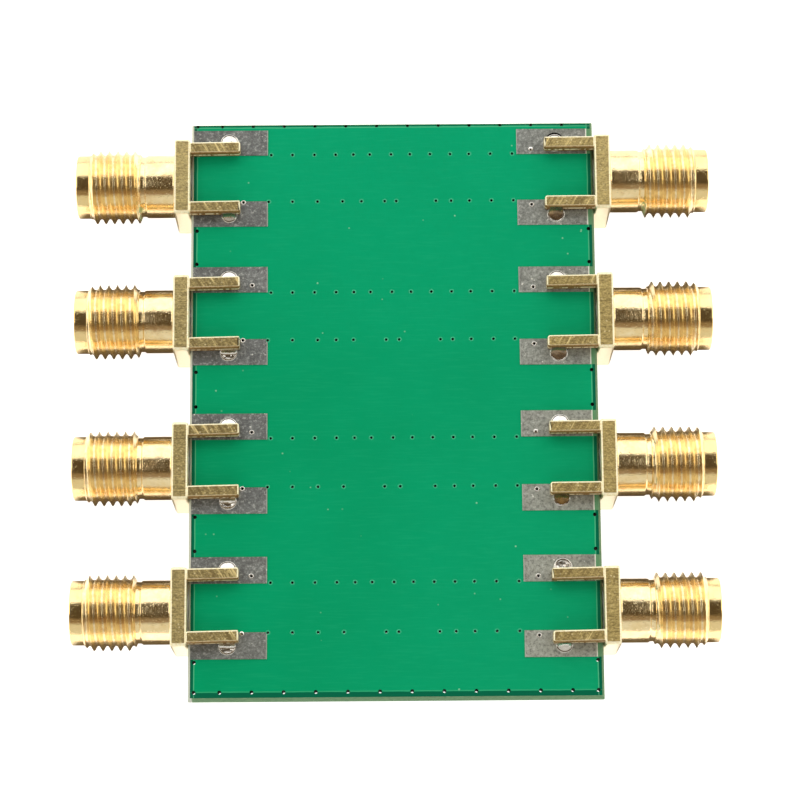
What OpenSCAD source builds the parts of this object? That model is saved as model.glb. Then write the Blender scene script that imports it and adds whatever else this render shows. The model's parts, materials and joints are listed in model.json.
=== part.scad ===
// Four-channel radio-frequency attenuator module: a bare green circuit board with four
// coaxial screw jacks soldered to each of its long edges. Every left jack is joined to the
// right jack of its row by one printed line and three chip resistors, two of them to ground.
// The module is drawn as it is photographed: ground face up, component face down, carried on
// the square flanges of its eight jacks. Origin: under the middle of the module, on the
// surface that it lies on. +X runs to the right-hand jacks, +Y up the board, +Z up.

/* [Board] */
// Width of the board, between its two jack edges
board_w = 33; // [30:0.1:40]
// Length of the board, across the four rows
board_l = 47.7; // [47:0.1:60]
// Thickness of the laminate
board_t = 1.6; // [0.8:0.1:2.4]
// How far the snapped rim leans out from each face
score_run = 0.2; // [0.05:0.01:0.3]
// How deep the scoring went into each face
score_depth = 0.45; // [0.1:0.05:0.7]
// Places of the left pads along the board, as shares of its half length, row 1 first
rows_left = [0.8013, 0.3136, -0.2, -0.691]; // [-0.82:0.0001:0.82]
// Places of the right pads along the board, as shares of its half length, row 1 first
rows_right = [0.8008, 0.3082, -0.1954, -0.6906]; // [-0.82:0.0001:0.82]
// How far each left jack was soldered off the middle of its pads, row 1 first
seat_left = [-0.05, 0.07, 0.08, 0]; // [-0.2:0.01:0.2]
// How far each right jack was soldered off the middle of its pads, row 1 first
seat_right = [0.18, 0.18, 0.02, -0.12]; // [-0.2:0.01:0.2]

/* [Drilling] */
// Diameter of the small plated holes
via_d = 0.3; // [0.2:0.05:0.4]
// Spacing of the small holes along the two short edges
edge_via_pitch = 2.54; // [2:0.01:3]
// Distance of the side holes from the left and right edges
side_via_inset = 0.5; // [0.4:0.05:0.9]
// Distance of the holes from the top edge
top_via_inset = 0.25; // [0.22:0.01:0.9]
// Distance of the holes from the bottom edge
bottom_via_inset = 0.64; // [0.3:0.01:0.9]
// Distance of each stitching row from the middle of its printed line
stitch_offset = 2; // [1.9:0.02:2.3]
// Diameter of the plated hole through each jack pad
leg_hole_d = 1.5; // [1:0.05:1.8]
// Distance of the pad holes from the jack edge
leg_hole_inset = 3.13; // [2.6:0.01:3.6]

/* [Copper] */
// Thickness of the tinned copper
copper_t = 0.05; // [0.03:0.01:0.1]
// Width of a jack pad, along the board's edge
pad_w = 2.14; // [1.9:0.02:2.4]
// Distance from the middle of a pair of jack pads to the middle of each
pad_offset = 3.03; // [2.9:0.01:3.3]
// Distance of a pad's inner end from the jack edge
pad_reach = 6.28; // [5:0.02:7]
// Bare strip between the left edge and the left pads
pad_margin_left = 0.2; // [0.2:0.02:0.8]
// Bare strip between the right edge and the right pads
pad_margin_right = 0.5; // [0.2:0.02:0.8]
// Width of a printed line
trace_w = 2; // [1:0.05:2.6]
// Bare strip between a printed line and the jack edge
trace_margin = 0.45; // [0.3:0.05:1]

/* [Jack] */
// Side of the square flange
flange_w = 6.35; // [6:0.05:7]
// Thickness of the flange
flange_t = 1.3; // [1:0.05:2]
// Rounding of the flange's four corners
flange_r = 0.3; // [0.05:0.05:0.6]
// Gap between the board's edge and the flange
seat_gap = 0.05; // [0:0.05:0.4]
// Length from the back of the flange to the mouth
jack_len = 9.4; // [9:0.05:12]
// Outside diameter of the thread
thread_d = 6.1; // [6:0.01:6.3]
// Spacing of the thread's turns
pitch = 0.7056; // [0.6:0.0001:0.8]
// Number of turns
turns = 6; // [4:1:8]
// Depth of the thread
thread_depth = 0.4; // [0.2:0.02:0.45]
// Diameter of the plain ring in front of the thread
lead_d = 5.2; // [5.1:0.05:5.3]
// Length of the plain ring
lead_len = 1.05; // [0.6:0.05:1.4]
// Diameter of the plain neck behind the thread
neck_d = 5.15; // [5.1:0.05:5.6]
// Diameter of the groove that the thread runs out into
relief_d = 4.95; // [4.8:0.05:5.1]
// Length of that groove
relief_len = 0.35; // [0.3:0.05:0.8]
// Chamfer at the thread's ends and at the mouth
edge_chamfer = 0.15; // [0.05:0.01:0.2]
// Diameter of the mouth's inside
mouth_d = 4.65; // [4.5:0.01:4.7]
// Depth of the mouth, down to the face of the insulator
mouth_depth = 1.93; // [1.8:0.01:2]

/* [Legs] */
// Length of a leg
leg_len = 4.1; // [3:0.05:5]
// Width of a leg
leg_w = 0.95; // [0.7:0.05:1.3]
// Step in from the flange's side to the leg's
leg_inset = 0.19; // [0:0.01:0.3]
// Rounding of a leg's two end corners
leg_r = 0.2; // [0.05:0.05:0.4]

/* [Contact] */
// Diameter of the insulator
insulator_d = 4.1; // [4:0.01:4.2]
// Diameter of the contact inside the insulator
contact_d = 1.27; // [1.2:0.01:1.4]
// Diameter of the socket's bore
socket_d = 0.93; // [0.9:0.01:0.96]
// Depth of the socket's bore
socket_depth = 2.6; // [2:0.1:4]
// Width of the slits between the socket's fingers
slit_w = 0.16; // [0.1:0.02:0.24]
// Length of the slits
slit_len = 2; // [1:0.1:2.5]
// Diameter of the tail that lies on the printed line
tail_d = 0.76; // [0.5:0.02:1]
// Reach of the tail behind the flange
tail_len = 2; // [1.2:0.1:3]

/* [Solder] */
// Height of the solder cap over a pad hole
cap_h = 0.15; // [0.1:0.05:0.5]
// Width and height of the fillet along a leg on the component face
fillet = 0.5; // [0.2:0.05:0.7]
// Length of the solder over the tail
tail_solder_len = 1.4; // [0.8:0.1:2]

/* [Resistors] */
// Length of a chip resistor
chip_l = 1.6; // [1.4:0.1:2]
// Width of a chip resistor
chip_w = 0.8; // [0.5:0.05:1]
// Height of a chip resistor
chip_h = 0.45; // [0.3:0.05:0.6]
// Length of its metal ends
chip_end = 0.35; // [0.2:0.05:0.4]
// Thickness of its metal ends
chip_plate = 0.03; // [0.02:0.01:0.05]
// Bare gap under the middle of a chip
chip_gap = 0.8; // [0.6:0.05:1]
// Place of the series chip to the right of the board's middle
chip_x = 2; // [-4:0.05:4]
// Distance from the series chip to the two shunt chips
shunt_pitch = 2.15; // [1.8:0.05:3]

/* [Hidden] */
$fn = 64;
cut = 1;                                          // overrun of every cutting body
// The jack's axis lies half a flange above the ground, its tail against the printed line,
// the line on the board's component face and the board's ground face above that.
axis_z = flange_w / 2;
trace_z = axis_z + tail_d / 2;                    // exposed side of the component copper
board_z0 = trace_z + copper_t;
board_z1 = board_z0 + board_t;
pad_z = board_z1 + copper_t;                      // exposed side of the ground pads
flange_x = board_w / 2 + seat_gap;                // back of the flange, right-hand side
leg_y1 = flange_w / 2 - leg_inset;                // outer side of a leg
leg_y0 = leg_y1 - leg_w;                          // inner side of a leg
hole_x = board_w / 2 - leg_hole_inset;
thread_x1 = jack_len - lead_len;                  // along the jack, from the flange's back
thread_x0 = thread_x1 - turns * pitch;
relief_x0 = thread_x0 - relief_len;
socket_x = jack_len - mouth_depth;                // reference plane: insulator and socket face
side_via_x = board_w / 2 - side_via_inset;
// Side holes stand clear of the flanges, in pairs between the rows and one below the last,
// at these shares of the board's half length.
side_via_share = [0.6143, 0.4969, 0.117, -0.0034, -0.3824, -0.4985, -0.873];
// Stitching holes along the upper side of each printed line, the same in all four rows.
upper_x = [-9.95, -8.2, -6.4, -4.65, -3.2, -1.85, -0.1, 1.45, 3.1, 4.75, 6.3, 8.05, 9.85];
// Those along the lower side leave room for the grounded ends of the shunt chips.
lower_x = [
    [-10.15, -8.2, -6.15, -4.1, -2.55, -0.65, 0.3, 3.55, 4.8, 6.3, 8.1, 9.9],
    [-10.2, -8.2, -6.15, -4.65, -3.25, -0.6, 0.45, 3.8, 4.8, 6.3, 8.1, 9.85],
    [-10.2, -8.2, -6.15, -4.1, -0.8, 0.45, 3.25, 4.8, 6.3, 8.1, 9.85],
    [-10.15, -8.2, -6.15, -4.1, -0.75, 0.25, 3.5, 4.8, 6.3, 8.05, 9.85]
];
// One small hole in each jack pad: inwards from the pad's hole, and off the pair's middle.
pad_via_left = [[1.89, 2.54], [1.15, -2.07]];
pad_via_right = [[1.97, 2.38], [1.97, -2.38]];

function row_y(side, i) = (side < 0 ? rows_left[i] : rows_right[i]) * board_l / 2;
function line_y(i) = (row_y(-1, i) + row_y(1, i)) / 2;
function seat_y(side, i) = side < 0 ? seat_left[i] : seat_right[i];

// Board.

// One direction's cross-section: square-cut in the middle, leaning in towards both faces.
module scored_section(width) {
    half = width / 2;
    polygon([
        [-half + score_run, board_z0], [half - score_run, board_z0], [half, board_z0 + score_depth],
        [half, board_z1 - score_depth], [half - score_run, board_z1], [-half + score_run, board_z1],
        [-half, board_z1 - score_depth], [-half, board_z0 + score_depth]
    ]);
}

module drill(x, y, d) translate([x, y, board_z0 - cut]) cylinder(d = d, h = board_t + 2 * cut, $fn = 24);

module small_drills() {
    edge_x0 = -5.5 * edge_via_pitch;
    for (k = [0:11]) {
        drill(edge_x0 + k * edge_via_pitch, board_l / 2 - top_via_inset, via_d);
        drill(edge_x0 + k * edge_via_pitch, -board_l / 2 + bottom_via_inset, via_d);
    }
    drill(-side_via_x, board_l / 2 - top_via_inset, via_d);
    for (side = [-1, 1]) {
        drill(side * side_via_x, -board_l / 2 + bottom_via_inset, via_d);
        for (share = side_via_share) drill(side * side_via_x, share * board_l / 2, via_d);
    }
    for (i = [0:3]) {
        for (x = upper_x) drill(x, line_y(i) + stitch_offset, via_d);
        for (x = lower_x[i]) drill(x, line_y(i) - stitch_offset, via_d);
        for (v = pad_via_left) drill(v[0] - hole_x, row_y(-1, i) + v[1], via_d);
        for (v = pad_via_right) drill(hole_x - v[0], row_y(1, i) + v[1], via_d);
    }
}

module leg_drills() {
    for (i = [0:3], side = [-1, 1], end = [-1, 1])
        drill(side * hole_x, row_y(side, i) + end * pad_offset, leg_hole_d);
}

module circuit_board() color("#14966a") difference() {
    intersection() {
        translate([0, board_l / 2, 0]) rotate([90, 0, 0])
            linear_extrude(board_l) scored_section(board_w);
        translate([-board_w / 2, 0, 0]) rotate([90, 0, 90])
            linear_extrude(board_w) scored_section(board_l);
    }
    small_drills();
    leg_drills();
}

// The sixteen pads of one face, at height z: they reach nearer to the left edge than the right.
module jack_pads(z) difference() {
    for (i = [0:3], side = [-1, 1], end = [-1, 1]) {
        margin = side < 0 ? pad_margin_left : pad_margin_right;
        x0 = side < 0 ? -board_w / 2 + margin : board_w / 2 - pad_reach;
        translate([x0, row_y(side, i) + end * pad_offset - pad_w / 2, z])
            cube([pad_reach - margin, pad_w, copper_t]);
    }
    small_drills();
    leg_drills();
}

module ground_face_pads() color("#9a9a94") jack_pads(board_z1);
module component_face_pads() color("#9a9a94") jack_pads(trace_z);

// Two lengths of printed line in each row, and the two lands that ground its shunt chips.
module signal_traces() color("#a8a8a0") difference() {
    for (i = [0:3]) translate([0, line_y(i), trace_z]) {
        x1 = board_w / 2 - trace_margin;
        translate([-x1, -trace_w / 2, 0]) cube([x1 + chip_x - chip_gap / 2, trace_w, copper_t]);
        translate([chip_x + chip_gap / 2, -trace_w / 2, 0])
            cube([x1 - chip_x - chip_gap / 2, trace_w, copper_t]);
        for (end = [-1, 1])
            translate([chip_x + end * shunt_pitch - chip_w / 2, -trace_w / 2 - chip_l, 0])
                cube([chip_w, chip_l - chip_gap, copper_t]);
    }
    small_drills();
}

// Jacks, drawn for the right-hand side with the axis at y = 0.

module at_jack(side, i) translate([0, row_y(side, i) + seat_y(side, i), 0])
    mirror([side < 0 ? 1 : 0, 0, 0]) children();
module along_jack() translate([flange_x, 0, axis_z]) rotate([0, 90, 0]) children();

// One turn of the thread, drawn as a ring: two flanks up to a narrow crest, flat in the root.
function turn(x) = [for (p = [[-0.44, 1], [-0.06, 0], [0.06, 0], [0.44, 1]])
    [thread_d / 2 - p[1] * thread_depth, x + p[0] * pitch]];

module barrel() rotate_extrude($fn = 96) polygon(concat(
    [[0, flange_t / 2], [neck_d / 2, flange_t / 2], [neck_d / 2, relief_x0 - edge_chamfer],
        [relief_d / 2, relief_x0], [relief_d / 2, thread_x0]],
    [for (k = [0:turns - 1]) each turn(thread_x0 + (k + 0.5) * pitch)],
    [[lead_d / 2, thread_x1], [lead_d / 2, jack_len - edge_chamfer],
        [lead_d / 2 - edge_chamfer, jack_len], [0, jack_len]]
));

module rounded_square(side, r) {
    square([side, side - 2 * r], center = true);
    square([side - 2 * r, side], center = true);
    for (a = [-1, 1], b = [-1, 1]) translate([a, b] * (side / 2 - r)) circle(r);
}

// Plan of one leg, from inside the flange to its rounded tip.
module leg_plan() translate([flange_x, leg_y0]) {
    translate([-leg_len + leg_r, 0]) square([leg_len - leg_r + flange_t / 2, leg_w]);
    translate([-leg_len, leg_r]) square([leg_len, leg_w - 2 * leg_r]);
    for (y = [leg_r, leg_w - leg_r]) translate([-leg_len + leg_r, y]) circle(leg_r, $fn = 32);
}

// Turned barrel, square flange and four legs: one machined piece. The slot between
// the upper and lower legs takes the board with the copper on both of its faces.
module jack_shell() color("#c9a75a") difference() {
    union() {
        along_jack() barrel();
        along_jack() linear_extrude(flange_t) rounded_square(flange_w, flange_r);
        for (end = [0, 1]) mirror([0, end, 0]) {
            translate([0, 0, pad_z]) linear_extrude(flange_w - pad_z) leg_plan();
            linear_extrude(trace_z) leg_plan();
        }
    }
    along_jack() translate([0, 0, -cut]) cylinder(d = insulator_d, h = jack_len + 2 * cut);
    along_jack() translate([0, 0, socket_x]) cylinder(d = mouth_d, h = mouth_depth + cut);
}

module jack_insulator() color("#f2f0ea") along_jack() difference() {
    cylinder(d = insulator_d, h = socket_x);
    translate([0, 0, -cut]) cylinder(d = contact_d, h = socket_x + 2 * cut);
}

// Slit socket at the reference plane, and the tail that lies on the printed line.
module jack_contact() color("#d8b45c") along_jack() difference() {
    union() {
        cylinder(d = contact_d, h = socket_x);
        translate([0, 0, -tail_len]) cylinder(d = tail_d, h = tail_len + cut);
    }
    translate([0, 0, socket_x - socket_depth]) cylinder(d = socket_d, h = socket_depth + cut, $fn = 48);
    for (a = [0, 90]) rotate(a)
        translate([-contact_d, -slit_w / 2, socket_x - slit_len]) cube([2 * contact_d, slit_w, slit_len + cut]);
}

// Solder in one pad hole, with a cap where the leg leaves the hole open.
module hole_solder() {
    cap_d = leg_hole_d;
    ball_r = (cap_d * cap_d / 4 + cap_h * cap_h) / (2 * cap_h);
    translate([hole_x, pad_offset, 0]) {
        translate([0, 0, trace_z]) cylinder(d = cap_d, h = pad_z - trace_z, $fn = 48);
        intersection() {
            translate([0, 0, pad_z + cap_h - ball_r]) sphere(ball_r, $fn = 48);
            translate([0, 0, pad_z - cut / 4]) cylinder(d = cap_d, h = cut, $fn = 48);
        }
    }
}

// Fillet along a leg's outer side on the component face, wrapped round its tip.
module leg_fillet() {
    tip_x = flange_x - leg_len;
    edge_x = board_w / 2 - score_run - pad_margin_right;
    translate([tip_x, leg_y1, trace_z]) rotate([90, 0, 90])
        linear_extrude(edge_x - tip_x) polygon([[0, 0], [fillet, 0], [0, -fillet]]);
    translate([tip_x, leg_y1, trace_z]) rotate([90, 0, 0])
        linear_extrude(leg_w) polygon([[0, 0], [-fillet, 0], [0, -fillet]]);
}

module tail_solder() {
    half = tail_d;
    translate([flange_x - tail_len, 0, trace_z]) rotate([90, 0, 90]) linear_extrude(tail_solder_len)
        polygon([[-half, 0], [half, 0], [tail_d / 2, -tail_d * 0.7], [-tail_d / 2, -tail_d * 0.7]]);
}

// The pad holes keep their places under a jack that was soldered off their middle.
module jack_solder(seat) color("#c8c8c0") {
    for (end = [0, 1]) mirror([0, end, 0]) {
        difference() {
            translate([0, end == 0 ? -seat : seat, 0]) hole_solder();
            translate([0, 0, pad_z]) linear_extrude(flange_w) leg_plan();
        }
        leg_fillet();
    }
    difference() {
        tail_solder();
        along_jack() translate([0, 0, -tail_len - cut]) cylinder(d = tail_d, h = tail_len + 2 * cut);
    }
}

// Resistors, drawn upright at the origin: length along X, standing on z = 0.

// k = 0 is the series chip, 1 and 2 are the shunt chips; all hang under the board.
module chip_at(i, k) {
    shunt = k > 0;
    translate([chip_x + (k == 0 ? 0 : k == 1 ? -shunt_pitch : shunt_pitch),
        line_y(i) - (shunt ? trace_w / 2 + chip_gap / 2 : 0), trace_z])
        rotate([180, 0, shunt ? 90 : 0]) children();
}

module chip_body() color("#26262a") translate([-chip_l / 2 + chip_plate, -chip_w / 2, chip_plate])
    cube([chip_l - 2 * chip_plate, chip_w, chip_h - 2 * chip_plate]);

module chip_ends() color("#cfcfca") for (end = [0, 1]) mirror([end, 0, 0]) difference() {
    translate([chip_l / 2 - chip_end, -chip_w / 2, 0]) cube([chip_end, chip_w, chip_h]);
    translate([0, -chip_w, chip_plate]) cube([chip_l / 2 - chip_plate, 2 * chip_w, chip_h - 2 * chip_plate]);
}

// A fillet from the metal end down to the copper, as wide as the chip.
module chip_solder() color("#c8c8c0") for (end = [0, 1]) mirror([end, 0, 0])
    translate([chip_l / 2, chip_w / 2, 0]) rotate([90, 0, 0])
        linear_extrude(chip_w) polygon([[0, 0], [chip_h * 0.6, 0], [0, chip_h * 0.7]]);

// Nodes.

module jack_l1_shell() at_jack(-1, 0) jack_shell();
module jack_l1_insulator() at_jack(-1, 0) jack_insulator();
module jack_l1_contact() at_jack(-1, 0) jack_contact();
module jack_l1_solder() at_jack(-1, 0) jack_solder(seat_y(-1, 0));
module jack_l2_shell() at_jack(-1, 1) jack_shell();
module jack_l2_insulator() at_jack(-1, 1) jack_insulator();
module jack_l2_contact() at_jack(-1, 1) jack_contact();
module jack_l2_solder() at_jack(-1, 1) jack_solder(seat_y(-1, 1));
module jack_l3_shell() at_jack(-1, 2) jack_shell();
module jack_l3_insulator() at_jack(-1, 2) jack_insulator();
module jack_l3_contact() at_jack(-1, 2) jack_contact();
module jack_l3_solder() at_jack(-1, 2) jack_solder(seat_y(-1, 2));
module jack_l4_shell() at_jack(-1, 3) jack_shell();
module jack_l4_insulator() at_jack(-1, 3) jack_insulator();
module jack_l4_contact() at_jack(-1, 3) jack_contact();
module jack_l4_solder() at_jack(-1, 3) jack_solder(seat_y(-1, 3));
module jack_r1_shell() at_jack(1, 0) jack_shell();
module jack_r1_insulator() at_jack(1, 0) jack_insulator();
module jack_r1_contact() at_jack(1, 0) jack_contact();
module jack_r1_solder() at_jack(1, 0) jack_solder(seat_y(1, 0));
module jack_r2_shell() at_jack(1, 1) jack_shell();
module jack_r2_insulator() at_jack(1, 1) jack_insulator();
module jack_r2_contact() at_jack(1, 1) jack_contact();
module jack_r2_solder() at_jack(1, 1) jack_solder(seat_y(1, 1));
module jack_r3_shell() at_jack(1, 2) jack_shell();
module jack_r3_insulator() at_jack(1, 2) jack_insulator();
module jack_r3_contact() at_jack(1, 2) jack_contact();
module jack_r3_solder() at_jack(1, 2) jack_solder(seat_y(1, 2));
module jack_r4_shell() at_jack(1, 3) jack_shell();
module jack_r4_insulator() at_jack(1, 3) jack_insulator();
module jack_r4_contact() at_jack(1, 3) jack_contact();
module jack_r4_solder() at_jack(1, 3) jack_solder(seat_y(1, 3));
module row_1_series_chip() chip_at(0, 0) chip_body();
module row_1_shunt_chip_a() chip_at(0, 1) chip_body();
module row_1_shunt_chip_b() chip_at(0, 2) chip_body();
module row_1_chip_ends() for (k = [0:2]) chip_at(0, k) chip_ends();
module row_1_chip_solder() for (k = [0:2]) chip_at(0, k) chip_solder();
module row_2_series_chip() chip_at(1, 0) chip_body();
module row_2_shunt_chip_a() chip_at(1, 1) chip_body();
module row_2_shunt_chip_b() chip_at(1, 2) chip_body();
module row_2_chip_ends() for (k = [0:2]) chip_at(1, k) chip_ends();
module row_2_chip_solder() for (k = [0:2]) chip_at(1, k) chip_solder();
module row_3_series_chip() chip_at(2, 0) chip_body();
module row_3_shunt_chip_a() chip_at(2, 1) chip_body();
module row_3_shunt_chip_b() chip_at(2, 2) chip_body();
module row_3_chip_ends() for (k = [0:2]) chip_at(2, k) chip_ends();
module row_3_chip_solder() for (k = [0:2]) chip_at(2, k) chip_solder();
module row_4_series_chip() chip_at(3, 0) chip_body();
module row_4_shunt_chip_a() chip_at(3, 1) chip_body();
module row_4_shunt_chip_b() chip_at(3, 2) chip_body();
module row_4_chip_ends() for (k = [0:2]) chip_at(3, k) chip_ends();
module row_4_chip_solder() for (k = [0:2]) chip_at(3, k) chip_solder();

circuit_board();
ground_face_pads();
component_face_pads();
signal_traces();
jack_l1_shell();
jack_l1_insulator();
jack_l1_contact();
jack_l1_solder();
jack_l2_shell();
jack_l2_insulator();
jack_l2_contact();
jack_l2_solder();
jack_l3_shell();
jack_l3_insulator();
jack_l3_contact();
jack_l3_solder();
jack_l4_shell();
jack_l4_insulator();
jack_l4_contact();
jack_l4_solder();
jack_r1_shell();
jack_r1_insulator();
jack_r1_contact();
jack_r1_solder();
jack_r2_shell();
jack_r2_insulator();
jack_r2_contact();
jack_r2_solder();
jack_r3_shell();
jack_r3_insulator();
jack_r3_contact();
jack_r3_solder();
jack_r4_shell();
jack_r4_insulator();
jack_r4_contact();
jack_r4_solder();
row_1_series_chip();
row_1_shunt_chip_a();
row_1_shunt_chip_b();
row_1_chip_ends();
row_1_chip_solder();
row_2_series_chip();
row_2_shunt_chip_a();
row_2_shunt_chip_b();
row_2_chip_ends();
row_2_chip_solder();
row_3_series_chip();
row_3_shunt_chip_a();
row_3_shunt_chip_b();
row_3_chip_ends();
row_3_chip_solder();
row_4_series_chip();
row_4_shunt_chip_a();
row_4_shunt_chip_b();
row_4_chip_ends();
row_4_chip_solder();
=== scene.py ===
"""A four-channel coaxial attenuator board, dressed for its photograph.

The board lies ground face up on the flanges of its eight screw jacks. Lengths in this file
are in millimetres, and MM turns them into the scene's metres where a mesh is made. Only the
table's size and the lamps' sizes and places are in metres.
"""
import json
import math

import bmesh
import bpy
from mathutils import Matrix, Vector


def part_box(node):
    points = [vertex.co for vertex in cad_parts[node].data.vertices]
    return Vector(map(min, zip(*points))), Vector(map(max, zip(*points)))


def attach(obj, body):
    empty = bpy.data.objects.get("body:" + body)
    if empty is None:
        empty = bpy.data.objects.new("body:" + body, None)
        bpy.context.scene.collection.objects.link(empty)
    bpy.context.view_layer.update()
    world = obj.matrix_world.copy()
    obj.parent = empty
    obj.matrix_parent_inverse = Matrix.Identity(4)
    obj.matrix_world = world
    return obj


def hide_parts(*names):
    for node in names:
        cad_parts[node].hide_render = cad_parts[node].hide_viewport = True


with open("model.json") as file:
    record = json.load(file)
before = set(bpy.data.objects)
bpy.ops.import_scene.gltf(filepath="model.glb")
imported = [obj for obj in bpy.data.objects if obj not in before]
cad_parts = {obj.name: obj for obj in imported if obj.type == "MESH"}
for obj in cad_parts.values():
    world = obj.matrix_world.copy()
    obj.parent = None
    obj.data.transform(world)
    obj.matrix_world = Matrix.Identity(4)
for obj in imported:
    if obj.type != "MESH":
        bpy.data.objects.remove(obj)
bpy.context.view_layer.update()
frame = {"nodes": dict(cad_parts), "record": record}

MM = 0.001

# The solids' own sizes, read back from their boxes.
BOARD_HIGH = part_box("circuit_board")[1] / MM
BOARD_TOP = BOARD_HIGH.z
BOARD_HALF_W, BOARD_HALF_L = BOARD_HIGH.x, BOARD_HIGH.y
PAD_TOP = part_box("ground_face_pads")[1].z / MM
TRACE_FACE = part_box("signal_traces")[0].z / MM
SHELL_LOW, SHELL_HIGH = (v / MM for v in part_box("jack_r1_shell"))
FLANGE_SIDE = SHELL_HIGH.z - SHELL_LOW.z
AXIS_Z = (SHELL_HIGH.z + SHELL_LOW.z) / 2
MOUTH_X = SHELL_HIGH.x
LEG_TIP_X = SHELL_LOW.x

# The jack, as the solids have it.
SEAT_GAP = 0.05                            # between the board's edge and a flange
FLANGE_X = BOARD_HALF_W + SEAT_GAP
FLANGE_THICK = 1.3
LEG_INSET, LEG_WIDE = 0.19, 0.95
LEG_OUT = FLANGE_SIDE / 2 - LEG_INSET      # a leg's outer side, off the jack's middle
THREAD_D, THREAD_PITCH, THREAD_TURNS, THREAD_DEEP = 6.1, 0.7056, 6, 0.4
LEAD_LENGTH, RELIEF_LENGTH = 1.05, 0.35     # plain ring before the thread, groove behind it
THREAD_X1 = MOUTH_X - LEAD_LENGTH
THREAD_X0 = THREAD_X1 - THREAD_TURNS * THREAD_PITCH
RELIEF_X0 = THREAD_X0 - RELIEF_LENGTH
LEAD_D, NECK_D, RELIEF_D = 5.2, 5.15, 4.95
MOUTH_D, MOUTH_DEEP, BORE_D = 4.65, 1.93, 4.1
HOLE_X = BOARD_HALF_W - 3.13               # the large pad holes
PAD_OFFSET = 3.03                          # a pad's middle, off the middle of its pair
PAD_WIDE, PAD_IN, PAD_OUT_RIGHT = 2.14, BOARD_HALF_W - 6.28, BOARD_HALF_W - 0.5
# The darker strip along each side also stands for painted shadow beside the flanges.
SIDE_STRIP, BOTTOM_STRIP, TOP_STRIP = 0.46, 0.63, 0.34   # what the copper leaves free along the edges
RIM_LEAN = 0.2                             # how far the snapped rim leans out from each face
ROUND = 96                                 # segments round the barrel
ROWS_PER_TURN = 22                         # rows of the thread's grid in one pitch
TIP_LENGTH = 1.0                           # a leg is rounded and leans beyond this from the flange
JOIN, CAD_JOIN = 0.002, 0.0001             # points closer than this are one, here and in the solids

JACKS = [(side, row) for side in "lr" for row in (1, 2, 3, 4)]

# Middles of the pad pairs, and how the photographed legs stand: off their jack's middle, and
# how far their tips lean along the board.
PAD_ROWS = {"l": (19.11, 7.48, -4.77, -16.48), "r": (19.1, 7.35, -4.66, -16.47)}
LEG_STAND = {
    "l1": (-0.13, 0.05), "l2": (-0.05, 0.08), "l3": (-0.02, 0.08), "l4": (0.05, 0.08),
    "r1": (-0.03, -0.02), "r2": (0.0, -0.06), "r3": (0.07, -0.03), "r4": (0.1, -0.08),
}


def jack_y(side, row):
    low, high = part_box(f"jack_{side}{row}_shell")
    return (low.y + high.y) / 2 / MM


# Node maths.


class Wire:
    """A number carried by a node socket; Python's operators add Math nodes to its tree."""

    def __init__(self, tree, socket):
        self.tree, self.socket = tree, socket

    def math(self, operation, *others, clamp=False):
        node = self.tree.nodes.new("ShaderNodeMath")
        node.operation, node.use_clamp = operation, clamp
        for slot, value in zip(node.inputs, (self, *others)):
            plug(self.tree, slot, value)
        return Wire(self.tree, node.outputs[0])

    def __add__(self, other):
        return self.math("ADD", other)

    __radd__ = __add__

    def __mul__(self, other):
        return self.math("MULTIPLY", other)

    __rmul__ = __mul__

    def __sub__(self, other):
        return self.math("SUBTRACT", other)

    def __rsub__(self, other):
        node = add(self.tree, "ShaderNodeMath", {"operation": "SUBTRACT"}, in0=other, in1=self)
        return Wire(self.tree, node.outputs[0])

    def __truediv__(self, other):
        return self.math("DIVIDE", other)

    def __pow__(self, other):
        return self.math("POWER", other)

    def __neg__(self):
        return self * -1.0

    def __gt__(self, other):
        return self.math("GREATER_THAN", other)

    def __lt__(self, other):
        return self.math("LESS_THAN", other)

    def __abs__(self):
        return self.math("ABSOLUTE")

    def clamp(self):
        return self.math("ADD", 0.0, clamp=True)

    def either(self, other):
        return self.math("MAXIMUM", other)

    def rise(self, start, end):
        """0 before start, 1 after end, a straight ramp between them."""
        return ((self - start) / (end - start)).clamp()

    def band(self, low, high, soft):
        """1 between low and high, falling off over soft on both sides."""
        return self.rise(low - soft, low) * (1 - self.rise(high, high + soft))


def plug(tree, slot, value):
    if isinstance(value, Wire):
        value = value.socket
    if isinstance(value, bpy.types.NodeSocket):
        tree.links.new(value, slot)
    else:
        slot.default_value = value


def add(tree, kind, settings=None, **values):
    """One node: its settings first, then its inputs by name (_ for a space) or as in0, in1."""
    node = tree.nodes.new(kind)
    for name, value in (settings or {}).items():
        setattr(node, name, value)
    for name, value in values.items():
        by_number = name.startswith("in") and name[2:].isdigit()
        key = int(name[2:]) if by_number else name.replace("_", " ")
        plug(tree, node.inputs[key], value)
    return node


def mixed(tree, amount, first, second):
    """The first colour where amount is 0, the second where it is 1."""
    node = add(tree, "ShaderNodeMix", {"data_type": "RGBA"}, in0=amount, in6=first, in7=second)
    return node.outputs[2]


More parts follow.
